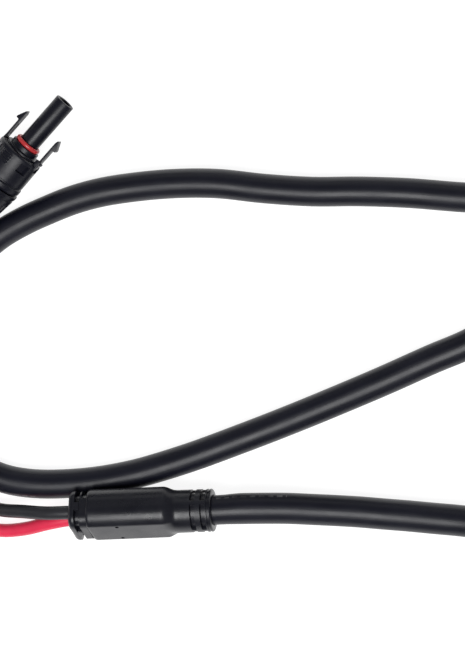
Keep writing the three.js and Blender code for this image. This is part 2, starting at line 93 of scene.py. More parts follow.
# both connectors, along their axis; 0 is the seal ring of the socket one
SHELL_REAR, SHELL_REAR_RADIUS, SHELL_FRONT, SHELL_FRONT_RADIUS = -19.7, 10.5, -3.95, 9.9
STUB_RADIUS, STUB_END = 7.7, -31.0
SEAL_START, SEAL_RADIUS = -23.0, 5.2
CONTACT_BORE, CONTACT_END = 3.4, -12.0
PROBE_RADIUS, PROBE_BORE, PROBE_TIP = 4.2, 2.8, 23.2
NUT_FRONT, NUT_REAR, NUT_FRONT_RADIUS, NUT_REAR_RADIUS = -20.0, -38.5, 11.0, 9.2
BASKET_FRONT = -31.3
WIRE_STOP = -22.8        # where a wire ends inside its connector
SLEEVE_MOUTH, SLEEVE_HALF, SLEEVE_CORNER = 22.0, (11.6, 7.8), 4.4
SLEEVE_BORE, SLEEVE_MOUTH_BORE, SLEEVE_MOUTH_DEPTH = 4.5, 5.9, 4.2
LATCH_ROOT, LATCH_REACH, LATCH_OFFSET, LATCH_THICKNESS, LATCH_WIDTH = -5.6, 15.4, 9.0, 1.0, 4.2


def station(at, heading, pitch=0.0, roll=0.0):
    """Matrix from a piece's own millimetres to the frame's metres, X along the piece."""
    turn = (Matrix.Rotation(math.radians(heading), 4, "Z")
            @ Matrix.Rotation(math.radians(-pitch), 4, "Y")
            @ Matrix.Rotation(math.radians(roll), 4, "X"))
    return Matrix.Translation(Vector(at) * MM) @ turn @ Matrix.Scale(MM, 4)


SPLITTER = station((18.3, -80.68, 13.9), 3.4, roll=-29)
SOCKET = station((0.1, 70.8, 14.9), 46.9, pitch=3)
PIN = station((-66.3, 58.6, 11.3), 90)
PLUG = station((222, 51.6, 8.3), 0)

# routes of the cable and the wires, in millimetres
LOWER_RUN = [
    (87.3, -76.5, 13.3), (96.9, -76.3, 12.2), (106.5, -76.3, 10.8), (116, -76.7, 9.4),
    (125.6, -77.1, 8.2), (135.2, -77.6, 7.2), (144.9, -78.3, 6.6), (154.5, -78.9, 6.3),
    (164.1, -79.6, 6.5), (177, -80.4, 7.6), (190, -81.6, 10.2), (202, -83, 13.4),
    (210, -84.2, 15.7), (218, -85.5, 17.5), (227, -86.7, 18.5), (238, -87.6, 18.7),
]
COIL_EXIT = [(200.7, 8.8, 6.3), (194.4, 1.4, 6.3), (186.8, -4.8, 6.3)]
BACK_RUN = [
    (178.2, -9.7, 6.3), (164, -15.8, 6.3), (144.7, -24.6, 6.3), (125.3, -33, 6.3),
    (105.7, -41.2, 6.3), (86, -49, 6.3), (66.1, -56.5, 6.3), (46.1, -62.9, 6.3),
    (36.1, -65.3, 6.3), (26, -67.1, 6.3), (15.9, -68.2, 6.3), (5.7, -68.7, 6.3),
    (-3, -68.4, 6.3), (-12.2, -66.9, 6.3), (-22.1, -63.1, 6.3), (-31.1, -57.3, 6.3),
    (-38.6, -49.8, 6.3), (-44.4, -40.9, 6.3), (-48.3, -30.9, 6.3), (-49.9, -20.4, 6.3),
    (-49.3, -9.7, 6.3), (-46.6, 0.6, 6.3), (-41.8, 10.1, 6.3), (-34.9, 18, 6.3),
    (-25.3, 25.2, 6.3), (-14.3, 33.9, 6.3), (-4.2, 39.6, 6.3), (6, 44.1, 6.3),
    (16.1, 48, 6.3), (26.2, 50.8, 6.3), (36.3, 52.6, 6.3), (56.3, 54.6, 6.3),
    (76.1, 54.7, 6.3), (95.8, 52.6, 6.3), (115.4, 51.3, 6.3), (134.8, 51.3, 6.3),
    (154.2, 50.6, 6.3), (176.5, 48.8, 6.3), (188, 48.4, 6.5), (199, 49.5, 7.2),
    (210, 51, 8),
]
BLACK_ROUTE = [
    (7.6, -79.6, 15.9), (-3.1, -79.5, 12.6), (-14.3, -79.4, 8.4), (-25, -76.9, 4.9),
    (-36.5, -71, 3.1), (-47.5, -61, 3.1), (-54.2, -47.5, 3.1), (-58, -32.5, 3.1),
    (-58.8, -17, 3.1), (-57, -2, 3.1), (-52.2, 11.5, 4.2), (-45.2, 22.3, 7.4),
]
RED_ROUTE = [
    (9.5, -83.8, 10.4), (4.7, -85, 9.1), (-4, -87.3, 6.9), (-15.1, -88.4, 4.9),
    (-28, -86, 3.4), (-41, -79.4, 3.1), (-52.8, -69, 3.1), (-60.6, -53.5, 3.1),
    (-64.8, -35, 3.1), (-66, -18, 5), (-66.3, -4, 8.9),
]
COIL_CENTRE, COIL_RADIUS = (250.0, -27.0), 61.0
COIL_LOW, COIL_HIGH = 6.3, 18.7


# ------------------------------------------------------------------ settings

def colour(name, description, default):
    """A colour setting."""
    return FloatVectorProperty(
        name=name, description=description, default=default, subtype="COLOR", min=0, max=1)


class CableSettings(bpy.types.PropertyGroup):
    """Round cable and its two single wires."""

    jacket: colour("Jacket", "Colour of the cable's jacket", (0.006, 0.0065, 0.014))
    print_shade: colour("Print", "Colour of the worn marks along the jacket", (0.24, 0.24, 0.25))
    black: colour("Black wire", "Colour of the black insulation", (0.024, 0.024, 0.029))
    red: colour("Red wire", "Colour of the red insulation", (0.86, 0.030, 0.090))
    sides: IntProperty(name="Sides", description="Faces round the cable", default=40, min=12)
    step: FloatProperty(
        name="Step", description="Distance between the cable's sections", default=3 * MM,
        unit="LENGTH", min=MM)


class MouldingSettings(bpy.types.PropertyGroup):
    """Moulded plastic and rubber pieces."""

    overmold: colour("Overmould", "Colour of splitter and plug grip", (0.007, 0.0075, 0.013))
    shell: colour("Shell", "Colour of the connectors' hard plastic", (0.005, 0.0055, 0.012))
    seal: colour("Seal ring", "Colour of the probe's seal ring", (0.62, 0.045, 0.050))
    gland: colour("Wire seal", "Colour of the seals round the wires", (0.045, 0.045, 0.047))


class MetalSettings(bpy.types.PropertyGroup):
    """Contacts."""

    tin: colour("Tin", "Colour of the tinned contacts", (0.66, 0.67, 0.69))
    gold: colour("Gold", "Colour of the plug's plated contacts", (0.83, 0.60, 0.24))


class StageSettings(bpy.types.PropertyGroup):
    """Floor, lights and camera."""

    floor: colour("Floor", "Colour of the floor", (0.32, 0.32, 0.32))
    glow: FloatProperty(
        name="Floor glow", description="Light that the floor gives itself", default=0.90, min=0)
    surround: FloatProperty(
        name="Surround", description="Strength of the light from all round", default=0.14, min=0)
    key: FloatProperty(
        name="Key light", description="Power of the soft box", default=12.0, unit="POWER", min=0)
    rim: FloatProperty(
        name="Rim light", description="Power of the low side boxes", default=0.8,
        unit="POWER", min=0)


class LeadSettings(bpy.types.PropertyGroup):
    """All settings of the lead."""

    cable: PointerProperty(type=CableSettings)
    moulding: PointerProperty(type=MouldingSettings)
    metal: PointerProperty(type=MetalSettings)
    stage: PointerProperty(type=StageSettings)


# ------------------------------------------------------------------ modelling helpers

def deselect():
    """Object mode with nothing selected."""
    if bpy.context.object and bpy.context.object.mode != "OBJECT":
        bpy.ops.object.mode_set(mode="OBJECT")
    bpy.ops.object.select_all(action="DESELECT")


def edit(obj):
    """Edit mode on one object, all of it selected."""
    deselect()
    obj.select_set(True)
    bpy.context.view_layer.objects.active = obj
    bpy.ops.object.mode_set(mode="EDIT")
    bpy.ops.mesh.select_mode(type="VERT")
    bpy.ops.mesh.select_all(action="SELECT")


def close_up(obj):
    """Merges doubled points, fills open ends and turns the faces outwards."""
    edit(obj)
    bpy.ops.mesh.remove_doubles(threshold=1e-4)
    bpy.ops.mesh.select_all(action="DESELECT")
    bpy.ops.mesh.select_mode(type="EDGE")
    bpy.ops.mesh.select_non_manifold(
        use_wire=False, use_boundary=True, use_multi_face=False, use_non_contiguous=False,
        use_verts=False)
    mesh = bmesh.from_edit_mesh(obj.data)
    if any(e.select for e in mesh.edges):
        bpy.ops.mesh.fill_holes(sides=0)
    bpy.ops.mesh.select_all(action="SELECT")
    bpy.ops.mesh.normals_make_consistent(inside=False)
    bpy.ops.object.mode_set(mode="OBJECT")
    return obj


def skin(name, sections):
    """Closed body through sections with equal numbers of points: a grid wrapped round them."""
    deselect()
    rows, columns = len(sections), len(sections[0])
    bpy.ops.mesh.primitive_grid_add(x_subdivisions=columns, y_subdivisions=rows - 1, size=1)
    obj = bpy.context.object
    obj.name = name
    points = [section[i % columns] for section in sections for i in range(columns + 1)]
    if len(points) != len(obj.data.vertices):
        raise RuntimeError(f"{name}: the grid has {len(obj.data.vertices)} points")
    obj.data.vertices.foreach_set("co", [c for point in points for c in point])
    obj.data.update()
    return close_up(obj)


def revolve(name, outline, steps=64):
    """Solid of revolution about X: one point is extruded along the outline and spun."""
    deselect()
    bpy.ops.mesh.primitive_plane_add(size=1)
    obj = bpy.context.object
    obj.name = name
    edit(obj)
    bpy.ops.mesh.merge(type="CENTER")
    x, radius = outline[0]
    bpy.ops.transform.translate(value=(x, 0, radius))
    for (x, radius), (ahead, out) in zip(outline, outline[1:]):
        bpy.ops.mesh.extrude_vertices_move(
            TRANSFORM_OT_translate={"value": (ahead - x, 0, out - radius)})
    bpy.ops.mesh.select_all(action="SELECT")
    bpy.ops.mesh.spin(steps=steps, angle=math.tau, center=(0, 0, 0), axis=(1, 0, 0))
    return close_up(obj)


def soften(outline, radius, steps=3):
    """An outline with its corners rounded."""
    made = [outline[0]]
    for before, corner, after in zip(outline, outline[1:], outline[2:]):
        here = Vector(corner)
        back, on = Vector(before) - here, Vector(after) - here
        reach = min(radius, 0.45 * back.length, 0.45 * on.length)
        start, end = here + back.normalized() * reach, here + on.normalized() * reach
        for i in range(steps + 1):
            t = i / steps
            made.append(tuple((1 - t) ** 2 * start + 2 * t * (1 - t) * here + t * t * end))
    return [*made, outline[-1]]


def slab(name, low, high, edge=0.3, segments=3):
    """A block between two corners with rounded edges."""
    deselect()
    size = Vector(high) - Vector(low)
    bpy.ops.mesh.primitive_cube_add(size=1, location=(Vector(low) + Vector(high)) / 2)
    obj = bpy.context.object
    obj.name = name
    obj.scale = size
    bpy.ops.object.transform_apply(location=True, rotation=True, scale=True)
    if edge:
        edit(obj)
        bpy.ops.mesh.bevel(offset=edge, segments=segments, affect="EDGES", clamp_overlap=True)
        bpy.ops.object.mode_set(mode="OBJECT")
    return obj


def rod(name, x0, x1, radius, side=(0.0, 0.0), steps=32):
    """A plain round tool along X, for cutting bores."""
    deselect()
    bpy.ops.mesh.primitive_cylinder_add(
        vertices=steps, radius=radius, depth=x1 - x0,
        location=((x0 + x1) / 2, *side), rotation=(0, math.pi / 2, 0))
    obj = bpy.context.object
    obj.name = name
    bpy.ops.object.transform_apply(location=True, rotation=True, scale=True)
    return obj


def apply_modifier(obj, kind, **values):
    """Adds one modifier, sets its values and applies it."""
    deselect()
    obj.select_set(True)
    bpy.context.view_layer.objects.active = obj
    modifier = obj.modifiers.new(kind.title(), kind)
    for name, value in values.items():
        setattr(modifier, name, value)
    bpy.ops.object.modifier_apply(modifier=modifier.name)


def combine(obj, others, operation):
    """Boolean of one object with others, which are used up."""
    for other in others:
        apply_modifier(obj, "BOOLEAN", operation=operation, solver="EXACT", object=other)
        bpy.data.objects.remove(other)
    return obj


def carve(obj, *tools):
    """Cuts the tools out of the object."""
    return combine(obj, tools, "DIFFERENCE")


def fuse(obj, *others):
    """Makes the objects one solid."""
    return combine(obj, others, "UNION")


def turned_copy(obj, degrees):
    """A copy with its own mesh, turned about X."""
    copy = obj.copy()
    copy.data = obj.data.copy()
    bpy.context.collection.objects.link(copy)
    copy.data.transform(Matrix.Rotation(math.radians(degrees), 4, "X"))
    return copy


def smoothstep(low, high, value):
    """0 below low, 1 above high, and a smooth ramp between."""
    t = min(1.0, max(0.0, (value - low) / (high - low)))
    return t * t * (3 - 2 * t)


def window(low, high, value, ramp=0.12):
    """1 between low and high, with a short ramp at each side."""
    return smoothstep(low - ramp, low + ramp, value) * (
        1 - smoothstep(high - ramp, high + ramp, value))


def edge_stops(edges, ramp=0.12):
    """Positions round each edge that draw its ramp."""
    return [edge + side * ramp for edge in edges for side in (-1, -0.4, 0.4, 1)]


def spread_stops(low, high, step, extra=()):
    """Sorted positions from low to high, none further apart than the step."""
    count = max(1, math.ceil((high - low) / step))
    stops = [low + (high - low) * i / count for i in range(count + 1)]
    stops += [stop for stop in extra if low < stop < high]
    stops.sort()
    kept = [stops[0]]
    for stop in stops[1:]:
        if stop - kept[-1] > 0.02:
            kept.append(stop)
    return kept


def across(half, corner, angle, clip=None):
    """Distance from the axis to a rounded rectangle, in the direction of an angle."""
    cosine, sine = abs(math.cos(angle)), abs(math.sin(angle))
    a, b = half
    corner = min(corner, a, b)
    if cosine * b > sine * a and a / max(cosine, 1e-9) * sine <= b - corner:
        far = a / cosine
    elif sine > 1e-9 and b / sine * cosine <= a - corner:
        far = b / sine
    else:
        centre = Vector((a - corner, b - corner))
        along = centre.dot(Vector((cosine, sine)))
        far = along + math.sqrt(max(0.0, along**2 - centre.length_squared + corner**2))
    return min(far, clip / cosine) if clip and cosine > 1e-9 else far


def ring_points(x, angles, radius_at):
    """Points of one section, at a distance from the axis that depends on the angle."""
    return [(x, radius_at(a) * math.cos(a), radius_at(a) * math.sin(a)) for a in angles]


def finish_piece(obj, name, place, body, material, replaced=(), angle=32):
    """Puts a piece in the frame and gives it its material, its body and its shading."""
    obj.name = obj.data.name = name
    obj.data.transform(place)
    deselect()
    obj.select_set(True)
    bpy.context.view_layer.objects.active = obj
    bpy.ops.object.shade_smooth_by_angle(angle=math.radians(angle))
    obj.data.materials.clear()
    obj.data.materials.append(material)
    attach(obj, body)
    if replaced:
        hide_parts(*replaced)
    return obj


# ------------------------------------------------------------------ materials

class Nodes:
    """A material's node tree, with short calls to add and join its nodes."""

    def __init__(self, name):
        self.material = bpy.data.materials.new(name)
        self.material.use_nodes = True
        self.tree = self.material.node_tree
        self.shader = self.tree.nodes["Principled BSDF"]
        self.coordinates = self.tree.nodes.new("ShaderNodeTexCoord")

    def add(self, kind, **values):
        """A node, with its sockets set by name."""
        node = self.tree.nodes.new(kind)
        for name, value in values.items():
            if name in node.bl_rna.properties:
                setattr(node, name, value)
            else:
                self.set(node, name, value)
        return node

    def set(self, node, name, value):
        """A socket's own value, or a link into it."""
        socket = node.inputs[name.replace("_", " ")]
        if isinstance(value, bpy.types.NodeSocket):
            self.tree.links.new(value, socket)
        else:
            socket.default_value = value

    def stretched(self, scale, source="Object"):
        """Coordinates, scaled separately along each axis."""
        return self.add("ShaderNodeMapping", Vector=self.coordinates.outputs[source],
                        Scale=scale).outputs["Vector"]

    def noise(self, vector, scale, detail=3.0, roughness=0.5):
        """Value of a noise pattern."""
        return self.add("ShaderNodeTexNoise", Vector=vector, Scale=scale, Detail=detail,
                        Roughness=roughness).outputs[0]

    def between(self, value, low, high, start=0.3, end=0.7):
        """A value drawn out to a range."""
        return self.add("ShaderNodeMapRange", Value=value, From_Min=start, From_Max=end,
                        To_Min=low, To_Max=high).outputs[0]

    def blend(self, share, first, second):
        """Mix of two colours."""
        mix = self.add("ShaderNodeMix", data_type="RGBA")
        for index, value in ((0, share), (6, first), (7, second)):
            if isinstance(value, bpy.types.NodeSocket):
                self.tree.links.new(value, mix.inputs[index])
            else:
                mix.inputs[index].default_value = value
        return mix.outputs[2]

    def math(self, operation, *values):
        """Result of a sum on values or sockets."""
        node = self.add("ShaderNodeMath", operation=operation)
        for socket, value in zip(node.inputs, values):
            if isinstance(value, bpy.types.NodeSocket):
                self.tree.links.new(value, socket)
            else:
                socket.default_value = value
        return node.outputs[0]

    def sum(self, first, second, share=1.0):
        """First plus a share of second."""
        return self.math("MULTIPLY_ADD", second, share, first)

    def band(self, value, low, high):
        """1 where a value lies between two limits."""
        return self.math("MULTIPLY", self.math("GREATER_THAN", value, low),
                         self.math("LESS_THAN", value, high))

    def repeat(self, value, times):
        """Fraction of a value times a count."""
        return self.math("FRACT", self.math("MULTIPLY", value, times))

    def bump(self, height, distance, strength=1.0):
        """Bump on the shader's normal, its height in metres."""
        bump = self.add("ShaderNodeBump", Height=height, Distance=distance, Strength=strength)
        self.set(self.shader, "Normal", bump.outputs[0])

    def finish(self, base, roughness, **values):
        """Sets the shader's colour, roughness and own values."""
        self.set(self.shader, "Base Color", base)
        self.set(self.shader, "Roughness", roughness)
        for name, value in values.items():
            self.set(self.shader, name, value)
        return self.material


def shade(tone, factor, lift=0.0):
    """A colour made lighter or darker."""
    return (*(min(1.0, c * factor + lift) for c in tone[:3]), 1.0)


def moulded(name, tone, grain, depth, roughness, spread=0.08, gloss=0.35):
    """Moulded plastic: fine eroded grain, flow mottling and a few dull scuffs."""
    nodes = Nodes(name)
    place = nodes.coordinates.outputs["Object"]
    flow = nodes.noise(place, 90.0, 4.0, 0.55)
    cells = nodes.noise(place, grain, 4.0, 0.6)
    scuff = nodes.noise(nodes.stretched((900.0, 340.0, 520.0)), 1.0, 5.0, 0.7)
    worn = nodes.between(scuff, 0.0, 0.55, 0.60, 0.74)
    base = nodes.blend(nodes.between(flow, 0.0, 1.0), shade(tone, 0.86), shade(tone, 1.16))
    base = nodes.blend(worn, base, shade(tone, 1.7, 0.004))
    rough = nodes.between(flow, roughness - spread, roughness + spread)
    nodes.bump(nodes.sum(cells, flow, 0.6), depth, 0.9)
    return nodes.finish(base, rough, Specular_IOR_Level=gloss)


def drawn(name, tone, roughness, length, girth, marks=None, gloss=0.3):
    """Extruded insulation: drag lines along it, soft mottling and, on the jacket, worn marks."""
    nodes = Nodes(name)
    along = nodes.stretched((girth * 900.0, length * 14.0, 0.0), "UV")
    cloud = nodes.stretched((girth * 120.0, length * 55.0, 0.0), "UV")
    fine = nodes.stretched((girth * 1600.0, length * 1500.0, 0.0), "UV")
    drag, mottle, grain = (nodes.noise(along, 1.0, 3.0, 0.6), nodes.noise(cloud, 1.0, 4.0, 0.6),
                           nodes.noise(fine, 1.0, 3.0, 0.6))
    base = nodes.blend(nodes.between(mottle, 0.0, 1.0), shade(tone, 0.88), shade(tone, 1.14))
    if marks:
        base = nodes.blend(marks_along(nodes, length, girth, mottle), base, (*marks[:3], 1.0))
    rough = nodes.between(nodes.sum(mottle, drag, 0.4), roughness - 0.06, roughness + 0.07,
                          0.4, 0.9)
    nodes.bump(nodes.sum(nodes.sum(drag, mottle, 1.4), grain, 0.5), 0.00005, 0.8)
    return nodes.finish(base, rough, Specular_IOR_Level=gloss)


PRINT_BAR, PRINT_REPEAT = 0.0034, 0.5     # metres from one bar, and one group, to the next


def marks_along(nodes, length, girth, wear):
    """Share of the print: short worn bars in a line along the jacket, with no lettering."""
    split = nodes.add("ShaderNodeSeparateXYZ", Vector=nodes.coordinates.outputs["UV"])
    around, along = split.outputs[0], split.outputs[1]
    line = nodes.band(around, 0.078, 0.106)
    bars = nodes.band(nodes.repeat(along, length / PRINT_BAR), 0.18, 0.80)
    groups = nodes.band(nodes.repeat(along, length / PRINT_REPEAT), 0.046, 0.104)
    worn = nodes.between(wear, 0.1, 0.75, 0.42, 0.66)
    return nodes.math("MULTIPLY", nodes.math("MULTIPLY", line, bars),
                      nodes.math("MULTIPLY", groups, worn))


def metal(name, tone, roughness, fine=2600.0):
    """Plated metal with turning marks and slight tarnish."""
    nodes = Nodes(name)
    place = nodes.coordinates.outputs["Object"]
    tarnish = nodes.noise(place, 420.0, 5.0, 0.6)
    turning = nodes.noise(nodes.stretched((fine, fine * 0.25, fine)), 1.0, 3.0, 0.6)
    base = nodes.blend(nodes.between(tarnish, 0.0, 1.0), shade(tone, 0.78), shade(tone, 1.08))
    rough = nodes.between(turning, roughness - 0.08, roughness + 0.12)
    nodes.bump(turning, 0.00002, 0.6)
    return nodes.finish(base, rough, Metallic=1.0)


MATERIALS = {}


def make_materials(settings, lengths):
    """All finishes of the lead, kept by name."""
    cable, mould, plated = settings.cable, settings.moulding, settings.metal
    MATERIALS.update(
        jacket=drawn("jacket_black", cable.jacket, 0.37, lengths["cable"],
                     2 * math.pi * CABLE_RADIUS * MM, marks=cable.print_shade, gloss=0.40),
        black_wire=drawn("insulation_black", cable.black, 0.36, lengths["black"],
                         2 * math.pi * WIRE_RADIUS * MM, gloss=0.45),
        red_wire=drawn("insulation_red", cable.red, 0.40, lengths["red"],
                       2 * math.pi * WIRE_RADIUS * MM, gloss=0.45),
        overmold=moulded("overmould_satin", mould.overmold, 2600.0, 0.00004, 0.31, gloss=0.5),
        shell=moulded("shell_eroded", mould.shell, 3400.0, 0.00003, 0.38, gloss=0.36),
        seal=moulded("seal_red", mould.seal, 1800.0, 0.00002, 0.33, gloss=0.5),
        gland=moulded("gland_rubber", mould.gland, 2200.0, 0.00003, 0.6, gloss=0.3),
        core_black=moulded("core_black", cable.black, 2400.0, 0.00002, 0.45),
        core_red=moulded("core_red", cable.red, 2400.0, 0.00002, 0.45),
        tin=metal("contact_tinned", plated.tin, 0.30),
        gold=metal("contact_gold", plated.gold, 0.24),
    )


# ------------------------------------------------------------------ cords

def smooth_route(points, step):
    """Points a step apart on a smooth curve through a route."""
    points = [Vector(p) for p in points]
    ends = [2 * points[0] - points[1], *points, 2 * points[-1] - points[-2]]
    line = []
    for a, b, c, d in zip(ends, ends[1:], ends[2:], ends[3:]):
        knots = [0.0]
        for near, far in ((a, b), (b, c), (c, d)):
            knots.append(knots[-1] + max(1e-9, (far - near).length ** 0.5))
        count = max(2, round((c - b).length / step))
        for i in range(count):
            t = knots[1] + (knots[2] - knots[1]) * i / count

            def mix(p, q, low, high):
                return p * ((high - t) / (high - low)) + q * ((t - low) / (high - low))

            ab, bc, cd = (mix(a, b, knots[0], knots[1]), mix(b, c, knots[1], knots[2]),
                          mix(c, d, knots[2], knots[3]))
            line.append(mix(mix(ab, bc, knots[0], knots[2]), mix(bc, cd, knots[1], knots[3]),
                            knots[1], knots[2]))
    return line + [points[-1]]


def path_length(line):
    """Length of a row of points."""
    return sum((b - a).length for a, b in zip(line, line[1:]))


def jacket_swell(distance):
    """How much the jacket is thicker just past the strain relief, in metres."""
    return 0.3 * MM * smoothstep(0.026, 0.034, distance) * (1 - smoothstep(0.12, 0.16, distance))


def swept(name, line, base, sides, swell=None):
    """Round tube along a line; its sections stand square to it and keep the same side up."""
    sections, distance = [], 0.0
    for i, point in enumerate(line):
        distance += (point - line[i - 1]).length if i else 0.0
        radius = base + (swell(distance) if swell else 0.0)
        ahead = (line[min(i + 1, len(line) - 1)] - line[max(i - 1, 0)]).normalized()
        side = Vector((0, 0, 1)).cross(ahead).normalized()
        up = ahead.cross(side)
        sections.append([
            point + radius * (math.cos(a) * side + math.sin(a) * up)
            for a in (math.tau * k / sides for k in range(sides))])
    return skin(name, sections)


def on_splitter(x, y=0.0, z=0.0):
    """A point of the splitter's own millimetres, in the frame."""
    return SPLITTER @ Vector((x, y, z))


def wire_line(side):
    """Where a wire runs across the splitter's axis: 1 for the upper one, -1 for the lower."""
    return 0.0, side * WIRE_PITCH / 2


def coil_points():
    """The coil's turns: over the top layer, down, and round again underneath."""
    top_end, low_start, end, step = 145, 225, 505, 15
    points = []
    for degrees in range(-75, end, step):
        fall = smoothstep(top_end, low_start, degrees)
        angle = math.radians(degrees)
        points.append((COIL_CENTRE[0] + COIL_RADIUS * math.cos(angle),
                       COIL_CENTRE[1] + COIL_RADIUS * math.sin(angle),
                       COIL_HIGH + (COIL_LOW - COIL_HIGH) * fall))
    return points


def to_frame(points):
    """Millimetres to metres."""
    return [Vector(p) * MM for p in points]


def cord_lines(step):
    """Centre lines of the cable and the two wires, in metres."""
    coil_start = (COIL_CENTRE[0], COIL_CENTRE[1] - COIL_RADIUS, COIL_HIGH)
    cable = [on_splitter(35.8), on_splitter(48), on_splitter(RELIEF_END + 2),
             *to_frame(LOWER_RUN), *to_frame([coil_start]), *to_frame(coil_points()),
             *to_frame(COIL_EXIT), *to_frame(BACK_RUN),
             *(PLUG @ Vector((x, 0, 0)) for x in (-2, 6, 13))]
    wires = []
    for side, route, connector in ((1, BLACK_ROUTE, SOCKET), (-1, RED_ROUTE, PIN)):
        y, z = wire_line(side)
        wires.append([
            on_splitter(SPLICE_START, y, z), on_splitter(7, y, z), on_splitter(-2, y, z),
            *to_frame(route),
            *(connector @ Vector((x, 0, 0)) for x in (-52.5, -40, WIRE_STOP))])
    return {"cable": smooth_route(cable, step), "black": smooth_route(wires[0], step),
            "red": smooth_route(wires[1], step)}


LINES = {}


class LEAD_OT_cords(bpy.types.Operator):
    """Sweep the round cable through its coil, and the black and red wires"""

    bl_idname = "lead.cords"
    bl_label = "Cable and wires"

    def execute(self, context):
        """Builds the three cords on their routes."""
        settings = context.scene.lead
        cable = settings.cable
        LINES.update(cord_lines(cable.step))
        lengths = {name: path_length(line) for name, line in LINES.items()}
        make_materials(settings, lengths)
        for name, line, radius, sides, slot, material, nodes in (
                ("round_cable", "cable", CABLE_RADIUS, cable.sides, "cable_jacket", "jacket",
                 ("cable_to_coil", "cable_from_coil", "cable_coil")),
                ("wire_black", "black", WIRE_RADIUS, 28, "black_insulation", "black_wire",
                 ("black_wire",)),
                ("wire_red", "red", WIRE_RADIUS, 28, "red_insulation", "red_wire",
                 ("red_wire",))):
            tube = swept(name, LINES[line], radius * MM, sides,
                         jacket_swell if line == "cable" else None)
            finish_piece(tube, name, Matrix.Identity(4), "lead", MATERIALS[material],
                         nodes, angle=60)
        return {"FINISHED"}


class LEAD_OT_declare_cords(bpy.types.Operator):
    """Collect the plug's pieces that are not hidden, and do nothing further with them"""

    bl_idname = "lead.declare_cords"
    bl_label = "Declare cords"

    def execute(self, context):
        """Collects the plug's shown pieces and returns."""
        objects = bpy.data.objects
        plug = [objects[name] for name in ("plug_grip_moulding", "plug_nose")]
        plug += [frame["nodes"][f"plug_contact_{pole}"] for pole in ("positive", "negative")]
        plug = [piece for piece in plug if not piece.hide_render]
        return {"FINISHED"}


# ------------------------------------------------------------------ splitter

def round_off(distance, radius):
    """How far a face draws in at a distance from an end that is rounded to a radius."""
    if distance >= radius:
        return 0.0
    return radius - math.sqrt(max(0.0, radius**2 - (radius - distance) ** 2))


def web_share(angle, radius, half_width):
    """1 on the four webs that stand on the axes, 0 between them."""
    lateral = radius * min(abs(math.cos(angle)), abs(math.sin(angle)))
    return 1 - smoothstep(half_width - 0.15, half_width + 0.15, lateral)


def splitter_radius(x, angle):
    """Distance from the splitter's axis to its skin."""
    if x < BODY_START:
        flange = across(FLANGE_HALF, FLANGE_CORNER, angle)
        drawn_in = round_off(x, 1.8) + 0.35 * smoothstep(NECK_START - 0.1, NECK_START + 0.1, x)
        drawn_in += 0.25 * round_off(FLANGE_END - x, 0.5) if x < FLANGE_END else 0.0
        slot = window(FLANGE_END, NECK_START, x) * (1 - web_share(angle, flange, 1.8))
        upper = window(math.radians(12), math.radians(68), angle, 0.06)
        notch = window(5.5, 7.4, x) * upper
        return flange - drawn_in - 2.2 * slot - 1.5 * notch
    if x < RELIEF_START:
        half = (BODY_HALF[0] + BODY_BULGE, BODY_HALF[1])
        body = across(half, BODY_CORNER, angle, clip=BODY_HALF[0])
        lower = max(0.0, -math.sin(angle)) ** 2
        body -= round_off(x - BODY_START, 0.9 + 2.0 * lower)
        return body + (RELIEF_RADIUS - body) * smoothstep(BODY_END, RELIEF_START, x)
    along = x - RELIEF_START
    webs = web_share(angle, RELIEF_RADIUS, 1.1)
    cut = sum(window(start, start + SLOT_WIDTH, along) for start in RELIEF_SLOTS)
    fine = window(*FINE_GROOVE, along, 0.1)
    return (RELIEF_RADIUS - 1.5 * cut * (1 - webs) - 0.35 * fine
            - round_off(RELIEF_END - x, 0.7))


